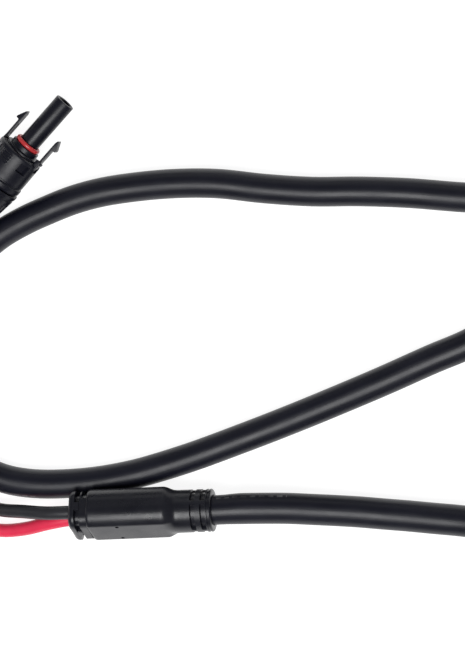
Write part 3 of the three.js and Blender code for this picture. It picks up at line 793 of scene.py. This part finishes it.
class LEAD_OT_splitter(bpy.types.Operator):
    """Model the moulded splitter with its slotted flange and ribbed strain relief"""

    bl_idname = "lead.splitter"
    bl_label = "Splitter"

    def execute(self, context):
        """Wraps the skin round its sections and bores it."""
        crease = math.atan2(CREASE, BODY_HALF[0])
        creases = [crease, math.pi - crease, math.pi + crease, math.tau - crease]
        webs = [quarter * math.pi / 2 + side * width
                for quarter in range(5) for side in (-1, 1)
                for width in (0.12, 0.15, 0.17, 0.20, 0.24, 0.28)]
        angles = spread_stops(0, math.tau, math.radians(3), creases + webs)[:-1]
        slots = [RELIEF_START + start + width for start in RELIEF_SLOTS
                 for width in (0, SLOT_WIDTH)]
        stops = edge_stops([FLANGE_END, NECK_START, 5.5, 7.4, *slots])
        stops += edge_stops([RELIEF_START + edge for edge in FINE_GROOVE], 0.1)
        stops += [0.05, 0.15, 0.3, 0.55, 0.9, 1.3, 1.8, BODY_START - 0.01, BODY_START + 0.01]
        stops += [BODY_START + d for d in (0.06, 0.15, 0.3, 0.5, 0.9, 1.4, 2.0, 2.9)]
        stops += [BODY_END + 0.5 * i for i in range(12)]
        stops += [RELIEF_END - d for d in (0.05, 0.15, 0.3, 0.5, 0.7)]
        xs = spread_stops(0, RELIEF_END, 2.0, stops)
        body = skin("splitter", [ring_points(x, angles, lambda a, x=x: splitter_radius(x, a))
                                 for x in xs])
        chamber_angles = [math.radians(6) * i for i in range(60)]
        chamber = skin("chamber", [
            ring_points(x, chamber_angles, lambda a: across((5.5, 8.3), 3, a))
            for x in (BODY_START + 2.2, BODY_END - 2.2)])
        bores = [rod("wire_bore", -2, BODY_START + 3, WIRE_RADIUS + GAP, wire_line(side))
                 for side in (1, -1)]
        cable_bore = rod("cable_bore", BODY_END - 3, RELIEF_END + 1, CABLE_RADIUS + GAP, steps=48)
        pins = []
        for along in PIN_HOLES:
            for up in (-PIN_HOLE_SIDE, PIN_HOLE_SIDE):
                bpy.ops.mesh.primitive_cylinder_add(
                    vertices=20, radius=0.8, depth=2.4, rotation=(math.pi / 2, 0, 0),
                    location=(BODY_START + along, -BODY_HALF[0], up))
                bpy.ops.object.transform_apply(location=True, rotation=True, scale=True)
                pins.append(bpy.context.object)
        carve(body, chamber, *bores, cable_bore, *pins)
        finish_piece(body, "splitter_moulding", SPLITTER, "lead",
                     MATERIALS["overmold"], ("splitter_overmold",), angle=28)
        return {"FINISHED"}


# ------------------------------------------------------------------ connectors

def rear_bores(front):
    """Tools for the bores behind a contact: the crimp's and the wire seal's."""
    return [rod("crimp_bore", SEAL_START - 1, front, CONTACT_BORE),
            rod("seal_bore", STUB_END - 1, SEAL_START, SEAL_RADIUS, steps=48)]


def threaded_stub(name):
    """The stub that the cap nut screws on, with its thread."""
    pitch, depth, turns_from = 1.5, 0.35, SHELL_REAR - 1.6
    outline = [(SHELL_REAR + 0.5, 0), (SHELL_REAR + 0.5, STUB_RADIUS - depth),
               (turns_from, STUB_RADIUS - depth)]
    x = turns_from
    while x - pitch > STUB_END + 1:
        outline += [(x - 0.3, STUB_RADIUS), (x - 0.75, STUB_RADIUS),
                    (x - 1.05, STUB_RADIUS - depth), (x - pitch, STUB_RADIUS - depth)]
        x -= pitch
    outline += [(STUB_END + 0.4, STUB_RADIUS - depth), (STUB_END, STUB_RADIUS - 0.8),
                (STUB_END, 0)]
    return revolve(name, outline, 56)


POCKETS, POCKET_HALF = (46.5, 133.5, 226.5, 313.5), 13.0     # dark windows, in degrees
PADS, PAD_HALF = (80.0, 260.0), 12.0                         # raised ribbed patches


def shell_radius(x, angle):
    """Distance from the axis to the socket connector's gripping body."""
    span = (SHELL_FRONT - x) / (SHELL_FRONT - SHELL_REAR)
    radius = SHELL_FRONT_RADIUS + 0.35 + (SHELL_REAR_RADIUS - SHELL_FRONT_RADIUS - 0.35) * span
    radius -= round_off(SHELL_FRONT - x, 1.1) + round_off(x - SHELL_REAR, 0.5)
    rim = window(-19.0, -16.9, x, 0.25)
    groove = window(-16.7, -16.0, x, 0.15)
    flat = 0.0
    for centre in POCKETS:
        away = math.degrees(angle) - centre
        pocket = window(-9.8, -5.9, x, 0.15) * window(-POCKET_HALF, POCKET_HALF, away, 1.0)
        flat = max(flat, 1.15 * pocket)
    pad = 0.0
    for centre in PADS:
        away = math.degrees(angle) - centre
        ribs = 0.5 + 0.5 * math.cos(math.tau * (x + 5.9) / 1.2)
        pad = max(pad, window(-10.2, -5.8, x, 0.2) * window(-PAD_HALF, PAD_HALF, away, 1.2)
                  * (0.20 + 0.35 * ribs))
    return radius - 0.25 + 0.3 * rim - 0.35 * groove - flat + pad


def shell_body(name, radius_at, front):
    """The gripping body, from its front to its rear face."""
    pockets = [centre + side * POCKET_HALF + more for centre in POCKETS
               for side in (-1, 1) for more in (-1, -0.3, 0.3, 1)]
    pads = [centre + side * PAD_HALF + more for centre in PADS
            for side in (-1, 1) for more in (-1.2, -0.4, 0.4, 1.2)]
    angles = spread_stops(0, math.tau, math.radians(4),
                          [math.radians(a) for a in pockets + pads])[:-1]
    stops = edge_stops([-5.9, -9.8, -16.0, -16.7], 0.15) + edge_stops([-16.9, -19.0], 0.25)
    stops += [front - d for d in (0.05, 0.15, 0.35, 0.65, 1.1)]
    stops += [SHELL_REAR + d for d in (0.04, 0.15, 0.3, 0.5)]
    stops += [-5.8 - 0.2 * i for i in range(23)]
    return skin(name, [ring_points(x, angles, lambda a, x=x: radius_at(x, a))
                       for x in spread_stops(SHELL_REAR, front, 0.6, stops)])


class LEAD_OT_socket_connector(bpy.types.Operator):
    """Model the connector with the slim probe, its seal ring and its two latches"""

    bl_idname = "lead.socket_connector"
    bl_label = "Socket connector"

    def execute(self, context):
        """Builds the shell and its trim, then the ring and the latches."""
        shell = shell_body("socket_body", shell_radius, SHELL_FRONT)
        collar = revolve("collar", soften(
            [(PROBE_TIP, 0), (PROBE_TIP, PROBE_RADIUS), (0.95, PROBE_RADIUS), (0.95, 3.9),
             (-0.95, 3.9), (-0.95, 6.2), (-3.05, 6.2), (-3.05, 7.8), (-5.2, 7.8), (-5.2, 0)],
            0.4), 72)
        fuse(shell, collar, threaded_stub("stub"))
        fuse(shell, slab("guard", (-6.0, -9.9, 2.4), (-1.3, -7.6, 3.8), 0.3),
             slab("spike", (-2.7, -10.8, 2.5), (-1.6, -9.4, 3.4), 0.15))
        slot = slab("slot", (-7.0, 7.6, -2.4), (0.0, 14, 2.4), 0)
        slots = [slot, turned_copy(slot, 180)]
        flare = revolve("flare", [(PROBE_TIP + 0.5, 0), (PROBE_TIP + 0.5, PROBE_BORE + 0.9),
                                  (PROBE_TIP - 0.4, PROBE_BORE), (PROBE_TIP - 0.4, 0)], 48)
        carve(shell, rod("probe_bore", CONTACT_END - 1, PROBE_TIP + 1, PROBE_BORE, steps=48),
              flare, *rear_bores(CONTACT_END), *slots)
        finish_piece(shell, "socket_shell_moulding", SOCKET, "lead",
                     MATERIALS["shell"], ("socket_shell",), angle=30)

        deselect()
        bpy.ops.mesh.primitive_torus_add(
            major_radius=4.92, minor_radius=0.72, major_segments=72, minor_segments=20,
            rotation=(0, math.pi / 2, 0))
        seal = bpy.context.object
        bpy.ops.object.transform_apply(location=True, rotation=True, scale=True)
        edit(seal)
        bpy.ops.transform.resize(value=(1.27, 1, 1))
        bpy.ops.object.mode_set(mode="OBJECT")
        finish_piece(seal, "probe_ring", SOCKET, "lead", MATERIALS["seal"],
                     ("probe_seal_ring",), angle=60)

        arm = latch_arm()
        for side, turn in (("left", 0), ("right", 180)):
            finish_piece(turned_copy(arm, turn), f"latch_spring_{side}", SOCKET,
                         f"latch_{side}", MATERIALS["shell"],
                         (f"latch_arm_{side}",), angle=30)
        bpy.data.objects.remove(arm)
        return {"FINISHED"}


def latch_arm():
    """One spring arm with its barb, on the side of +Y."""
    root, tip = LATCH_ROOT, LATCH_ROOT + LATCH_REACH
    thick, low = LATCH_THICKNESS, LATCH_OFFSET - LATCH_THICKNESS / 2
    outline = [(root, 0.2), (root + 0.4, 0), (tip - 1.4, 0), (tip - 0.2, 0.3), (tip, 0.6),
               (tip - 1.6, 1.35), (tip - 3.9, thick + 1.35), (tip - 4.5, thick + 1.25),
               (tip - 4.6, thick + 0.1), (tip - 5.2, thick - 0.1), (root + 3.2, thick - 0.15),
               (root + 1.4, thick), (root + 0.3, thick), (root, thick - 0.2)]
    deselect()
    bpy.ops.mesh.primitive_circle_add(vertices=len(outline), fill_type="NGON")
    arm = bpy.context.object
    flat = [c for x, y in outline for c in (x, low + y, -LATCH_WIDTH / 2)]
    arm.data.vertices.foreach_set("co", flat)
    edit(arm)
    bpy.ops.mesh.extrude_region_move(TRANSFORM_OT_translate={"value": (0, 0, LATCH_WIDTH)})
    bpy.ops.mesh.select_all(action="SELECT")
    bpy.ops.mesh.normals_make_consistent(inside=False)
    bpy.ops.object.mode_set(mode="OBJECT")
    window_tool = slab("relief", (root + 3.6, low - 1, -1.1), (tip - 6.2, low + 0.35, 1.1), 0.15)
    carve(arm, window_tool)
    apply_modifier(arm, "BEVEL", width=0.14, segments=2, limit_method="ANGLE",
                   angle_limit=math.radians(25))
    return arm


def nut_radius(x, angle):
    """Distance from the axis to the ribbed cap nut."""
    front = NUT_FRONT - x
    radius = NUT_FRONT_RADIUS - 0.9 * min(front, 9.0) / 9.0
    if front > 9.0:
        share = (front - 9.0) / (NUT_FRONT - NUT_REAR - 9.0)
        radius = 10.1 + (NUT_REAR_RADIUS - 10.1) * share
    radius -= round_off(front, 0.5) + round_off(x - NUT_REAR, 1.1)
    pitch = math.tau / 12
    away = abs((angle - pitch / 2 + math.pi / 12) % pitch - pitch / 2) * radius
    behind = 1 - smoothstep(NUT_FRONT - 5.2, NUT_FRONT - 4, x)
    groove = (1 - smoothstep(0.55, 0.95, away)) * behind
    return radius - 0.62 * groove - 0.3 * window(NUT_FRONT - 2.6, NUT_FRONT - 1.8, x, 0.2)


def cap_nut(name):
    """The ribbed nut that screws on the stub and squeezes the clamping basket."""
    stops = [NUT_FRONT - d for d in (0.05, 0.15, 0.3, 0.5, 1.6, 1.8, 2.0, 2.4, 2.6, 2.8)]
    stops += [NUT_REAR + d for d in (0.05, 0.15, 0.3, 0.6, 0.85, 1.1)]
    stops += [NUT_FRONT - 4 - 0.3 * i for i in range(5)]
    angles = [math.tau * i / 144 for i in range(144)]
    nut = skin(name, [ring_points(x, angles, lambda a, x=x: nut_radius(x, a))
                      for x in spread_stops(NUT_REAR, NUT_FRONT, 1.5, stops)])
    thread = STUB_RADIUS + GAP
    cavity = revolve("cavity", [
        (NUT_FRONT + 1, 0), (NUT_FRONT + 1, thread), (BASKET_FRONT, thread), (BASKET_FRONT, 7.5),
        (NUT_REAR + 1.5, 5.7), (NUT_REAR + 1.5, 0)], 56)
    mouth = revolve("mouth", [
        (NUT_REAR + 3, 0), (NUT_REAR + 3, 3.4), (NUT_REAR + 0.8, 3.4), (NUT_REAR - 0.6, 4.8),
        (NUT_REAR - 0.6, 0)], 48)
    return carve(nut, cavity, mouth)


class LEAD_OT_cap_nuts(bpy.types.Operator):
    """Model the ribbed cap nut of each connector"""

    bl_idname = "lead.cap_nuts"
    bl_label = "Cap nuts"

    def execute(self, context):
        """Models one nut and places a copy on each connector."""
        nut = cap_nut("cap_nut")
        for name, place in (("socket", SOCKET), ("pin", PIN)):
            finish_piece(turned_copy(nut, 0), f"{name}_nut_ribbed", place, f"{name}_nut",
                         MATERIALS["shell"], (f"{name}_cap_nut",), angle=30)
        bpy.data.objects.remove(nut)
        return {"FINISHED"}


def sleeve_radius(x, angle):
    """Distance from the axis to the pin connector's gripping body and sleeve."""
    root = SHELL_FRONT - 6
    grip = SHELL_REAR_RADIUS - 0.05 * (x - SHELL_REAR) - 0.3
    grip += 0.3 * window(-19.0, -16.9, x, 0.25) - 0.35 * window(-16.7, -16.0, x, 0.15)
    grip -= round_off(x - SHELL_REAR, 0.5)
    for centre in (0.0, 180.0, 360.0):
        away = abs(math.degrees(angle) - centre)
        scoop = smoothstep(-16.2, -14.6, x) * (1 - smoothstep(-12.4, -11.0, x))
        grip -= 0.8 * scoop * (1 - smoothstep(20.0, 44.0, away))
    block = across(SLEEVE_HALF, SLEEVE_CORNER, angle)
    block -= round_off(SLEEVE_MOUTH - x, 1.0)
    flutes = 0.0
    for start in (0.5, 3.0, 5.5):
        side = 1 - smoothstep(28.0, 32.0, min(abs(math.degrees(angle) - c)
                                              for c in (90.0, 270.0)))
        flutes += window(start, start + 1.2, x, 0.25) * side
    return grip + (block - grip) * smoothstep(root - 2.5, SHELL_FRONT, x) - 0.35 * flutes


class LEAD_OT_pin_connector(bpy.types.Operator):
    """Model the connector with the sleeve that takes the probe and its latches"""

    bl_idname = "lead.pin_connector"
    bl_label = "Pin connector"

    def execute(self, context):
        """Builds the shell with its sleeve, pockets and bores."""
        corners = [math.radians(c + d) for c in (90, 270) for d in (-32, -30, -28, 28, 30, 32)]
        angles = spread_stops(0, math.tau, math.radians(3), corners)[:-1]
        stops = edge_stops([0.5, 1.7, 3.0, 4.2, 5.5, 6.7], 0.25)
        stops += edge_stops([-16.0, -16.7], 0.15) + edge_stops([-16.9, -19.0], 0.25)
        stops += [SLEEVE_MOUTH - d for d in (0.05, 0.15, 0.35, 0.65, 1.0)]
        stops += [SHELL_REAR + d for d in (0.04, 0.15, 0.3, 0.5)]
        stops += [SHELL_FRONT - 8.5 + 0.5 * i for i in range(18)]
        shell = skin("pin_body", [
            ring_points(x, angles, lambda a, x=x: sleeve_radius(x, a))
            for x in spread_stops(SHELL_REAR, SLEEVE_MOUTH, 1.5, stops)])
        fuse(shell, threaded_stub("stub"))
        floor, strap, half = 7.8, SLEEVE_HALF[0] - 1.4, LATCH_WIDTH / 2 + GAP
        pockets = []
        for low, high in (((8.5, floor, -half), (SLEEVE_MOUTH + 1, strap, half)),
                          ((8.5, floor, -half), (SLEEVE_MOUTH - 6.8, 14, half))):
            for turn in (0, 180):
                tool = slab("pocket", low, high, 0)
                tool.data.transform(Matrix.Rotation(math.radians(turn), 4, "X"))
                pockets.append(tool)
        flare = revolve("flare", [
            (SLEEVE_MOUTH + 0.5, 0), (SLEEVE_MOUTH + 0.5, SLEEVE_MOUTH_BORE + 1.0),
            (SLEEVE_MOUTH - 0.5, SLEEVE_MOUTH_BORE), (SLEEVE_MOUTH - 0.5, 0)], 56)
        carve(shell, *pockets, flare,
              rod("sleeve_bore", LATCH_ROOT, SLEEVE_MOUTH + 1, SLEEVE_BORE, steps=56),
              rod("mouth_bore", SLEEVE_MOUTH - SLEEVE_MOUTH_DEPTH, SLEEVE_MOUTH + 1,
                  SLEEVE_MOUTH_BORE, steps=56),
              rod("contact_bore", CONTACT_END - 1, LATCH_ROOT + 1, PROBE_BORE, steps=48),
              *rear_bores(CONTACT_END))
        finish_piece(shell, "pin_shell_moulding", PIN, "lead",
                     MATERIALS["shell"], ("pin_shell",), angle=30)
        return {"FINISHED"}


# ------------------------------------------------------------------ plug

PLUG_HALF, PLUG_CORNER = (9.5, 7.6), 4.0
PLUG_RELIEF, PLUG_SHOULDER, PLUG_END = 14.0, 20.0, 36.0
NOSE_HALF, NOSE_CORNER, NOSE_START, NOSE_END = (7.6, 5.7), 2.6, 28.3, 44.3
PLUG_RIBS = (3.0, 6.4, 9.8)
CONTACT_PITCH, CONTACT_RADIUS = 7.4, 2.0


def plug_radius(x, angle):
    """Distance from the plug's axis to its grip."""
    relief = 7.4 + 0.6 * min(1.0, x / PLUG_RELIEF) - round_off(x, 0.7)
    cuts = sum(window(start, start + 1.4, x) for start in PLUG_RIBS)
    relief -= 1.0 * cuts * (1 - web_share(angle, 8.0, 1.1))
    grip = across(PLUG_HALF, PLUG_CORNER, angle) - round_off(PLUG_END - x, 1.0)
    flat = 0.5 * window(22.5, 33.5, x, 0.8) * (
        1 - smoothstep(4.6, 5.4, abs(grip * math.cos(angle))))
    ribs = 0.3 * (0.5 + 0.5 * math.cos(math.tau * (x - 22.5) / 2.2)) * (flat > 0.45)
    return relief + (grip - flat + ribs - relief) * smoothstep(PLUG_RELIEF, PLUG_SHOULDER, x)


class LEAD_OT_plug(bpy.types.Operator):
    """Model the two-pole plug on the cable's far end"""

    bl_idname = "lead.plug"
    bl_label = "Plug"

    def execute(self, context):
        """Builds the grip and the nose that its two contacts sit in."""
        angles = [math.radians(3) * i for i in range(120)]
        stops = edge_stops([start + width for start in PLUG_RIBS for width in (0, 1.4)])
        stops += [0.05, 0.15, 0.35, 0.7, *(PLUG_END - d for d in (0.05, 0.15, 0.35, 0.65, 1.0))]
        stops += [PLUG_RELIEF + 0.5 * i for i in range(13)]
        stops += [21.7 + 0.37 * i for i in range(34)]
        grip = skin("grip", [ring_points(x, angles, lambda a, x=x: plug_radius(x, a))
                             for x in spread_stops(0, PLUG_END, 1.5, stops)])
        seat_half = tuple(value + GAP for value in NOSE_HALF)
        seat = skin("seat", [ring_points(x, angles, lambda a: across(seat_half, 2.9, a))
                             for x in (PLUG_END - 8, PLUG_END + 1)])
        carve(grip, rod("cable_bore", -1, PLUG_END - 7, CABLE_RADIUS + GAP, steps=48), seat)
        finish_piece(grip, "plug_grip_moulding", PLUG, "lead",
                     MATERIALS["overmold"], ("plug_grip",), angle=28)

        stops = [NOSE_END - d for d in (0.05, 0.15, 0.35, 0.6)]
        nose = skin("nose", [
            ring_points(x, angles, lambda a, x=x: across(NOSE_HALF, NOSE_CORNER, a)
                        - round_off(NOSE_END - x, 0.6))
            for x in spread_stops(NOSE_START, NOSE_END, 4, stops)])
        tools = []
        for side in (-1, 1):
            line = (side * CONTACT_PITCH / 2, 0)
            tools.append(rod("contact_bore", NOSE_START - 1, NOSE_END + 1,
                             CONTACT_RADIUS + GAP, line, steps=40))
        tools.append(slab("key_slot", (NOSE_END - 6, -0.9, 4.9), (NOSE_END + 1, 0.9, 7), 0))
        carve(nose, *tools)
        finish_piece(nose, "plug_nose", PLUG, "lead", MATERIALS["shell"],
                     ("plug_insulator",), angle=30)
        return {"FINISHED"}


class LEAD_OT_small_pieces(bpy.types.Operator):
    """Give the contacts, wire seals, clamping baskets and splices their finishes"""

    bl_idname = "lead.small_pieces"
    bl_label = "Small pieces"

    def execute(self, context):
        """Puts a material on each piece that keeps its frame shape."""
        finishes = {
            "tin": ("socket_contact", "pin_contact", "splice_barrel_black", "splice_barrel_red"),
            "gold": ("plug_contact_positive", "plug_contact_negative"),
            "gland": ("socket_wire_seal", "pin_wire_seal"),
            "shell": ("socket_clamp_basket", "pin_clamp_basket"),
            "core_black": ("splice_sleeve_black", "cable_core_black"),
            "core_red": ("splice_sleeve_red", "cable_core_red"),
        }
        for finish, names in finishes.items():
            for name in names:
                node = frame["nodes"][name]
                node.data.materials.clear()
                node.data.materials.append(MATERIALS[finish])
                deselect()
                node.select_set(True)
                bpy.context.view_layer.objects.active = node
                bpy.ops.object.shade_flat()
        return {"FINISHED"}


# ------------------------------------------------------------------ stage

LOOK_AT = Vector((0.08184, -0.00184, 0.0))
EYE_TILT = (10.0, 2.0)   # degrees that the camera leans towards +X and +Y
EYE_DISTANCE = 1.0
LENS, SENSOR = 136.74, 36.0


def aim(obj, place, target, up=Vector((0, 1, 0))):
    """Puts an object at a place, looking at a target."""
    back = (place - target).normalized()
    right = up.cross(back).normalized()
    turn = Matrix((right, back.cross(right), back)).transposed().to_4x4()
    obj.matrix_world = Matrix.Translation(place) @ turn


def soft_box(name, place, target, size, power):
    """A rectangular area light."""
    bpy.ops.object.light_add(type="AREA")
    lamp = bpy.context.object
    lamp.name = name
    lamp.data.shape = "RECTANGLE"
    lamp.data.size, lamp.data.size_y = size
    lamp.data.energy = power
    aim(lamp, Vector(place), Vector(target))


class LEAD_OT_stage(bpy.types.Operator):
    """Lay the floor, hang the soft lights and place the camera"""

    bl_idname = "lead.stage"
    bl_label = "Stage"

    def execute(self, context):
        """Builds floor, world, lights and camera."""
        stage = context.scene.lead.stage
        deselect()
        bpy.ops.mesh.primitive_plane_add(size=8, location=(0.1, 0, 0))
        floor = context.object
        floor.name = "floor"
        nodes = Nodes("floor_paper")
        grain = nodes.noise(nodes.coordinates.outputs["Object"], 60.0, 4.0)
        base = nodes.blend(nodes.between(grain, 0.0, 1.0), shade(stage.floor, 0.99),
                           shade(stage.floor, 1.0))
        nodes.finish(base, 0.9, Specular_IOR_Level=0.0, Emission_Strength=stage.glow,
                     Emission_Color=(1.0, 1.0, 1.0, 1.0))
        floor.data.materials.append(nodes.material)

        world = bpy.data.worlds.new("studio")
        world.use_nodes = True
        background = world.node_tree.nodes["Background"]
        background.inputs["Color"].default_value = (1.0, 1.0, 1.0, 1.0)
        background.inputs["Strength"].default_value = stage.surround
        context.scene.world = world
        context.scene.view_settings.view_transform = "Standard"

        soft_box("key_box", (0.10, -0.42, 1.15), (0.08, 0.0, 0.0), (0.8, 0.6), stage.key)
        soft_box("left_box", (-1.1, 0.1, 0.45), (0.0, 0.0, 0.0), (0.8, 0.5), stage.rim)
        soft_box("back_box", (0.1, 1.1, 0.5), (0.05, 0.0, 0.0), (1.2, 0.4), stage.rim)

        bpy.ops.object.camera_add()
        camera = context.object
        lean = Vector([math.tan(math.radians(a)) for a in EYE_TILT] + [1.0]).normalized()
        aim(camera, LOOK_AT + lean * EYE_DISTANCE, LOOK_AT)
        camera.data.sensor_width = SENSOR
        camera.data.lens = LENS
        camera.data.clip_start, camera.data.clip_end = 0.01, 20.0
        context.scene.camera = camera
        return {"FINISHED"}


# ------------------------------------------------------------------ panel and main

STEPS = ("cords", "splitter", "socket_connector", "cap_nuts", "pin_connector", "plug",
         "small_pieces", "declare_cords", "stage")


class LEAD_PT_panel(bpy.types.Panel):
    """Sidebar panel with the lead's pieces in their order"""

    bl_idname = "LEAD_PT_panel"
    bl_label = "Solar lead"
    bl_space_type = "VIEW_3D"
    bl_region_type = "UI"
    bl_category = "Solar lead"

    def draw(self, context):
        """Lists the settings and the operators."""
        lead = context.scene.lead
        for group in (lead.cable, lead.moulding, lead.metal, lead.stage):
            for name in group.__annotations__:
                self.layout.prop(group, name)
        for step in STEPS:
            self.layout.operator(f"lead.{step}")


CLASSES = (
    CableSettings, MouldingSettings, MetalSettings, StageSettings, LeadSettings,
    LEAD_OT_cords, LEAD_OT_declare_cords, LEAD_OT_splitter, LEAD_OT_socket_connector,
    LEAD_OT_cap_nuts, LEAD_OT_pin_connector, LEAD_OT_plug, LEAD_OT_small_pieces, LEAD_OT_stage,
    LEAD_PT_panel,
)


def register():
    """Registers the classes and the scene's settings."""
    for entry in CLASSES:
        bpy.utils.register_class(entry)
    bpy.types.Scene.lead = PointerProperty(type=LeadSettings)


def unregister():
    """Takes the classes and the settings away again."""
    del bpy.types.Scene.lead
    for entry in reversed(CLASSES):
        bpy.utils.unregister_class(entry)


def main():
    """Builds the lead step by step."""
    register()
    for step in STEPS:
        getattr(bpy.ops.lead, step)()


if __name__ == "__main__":
    main()
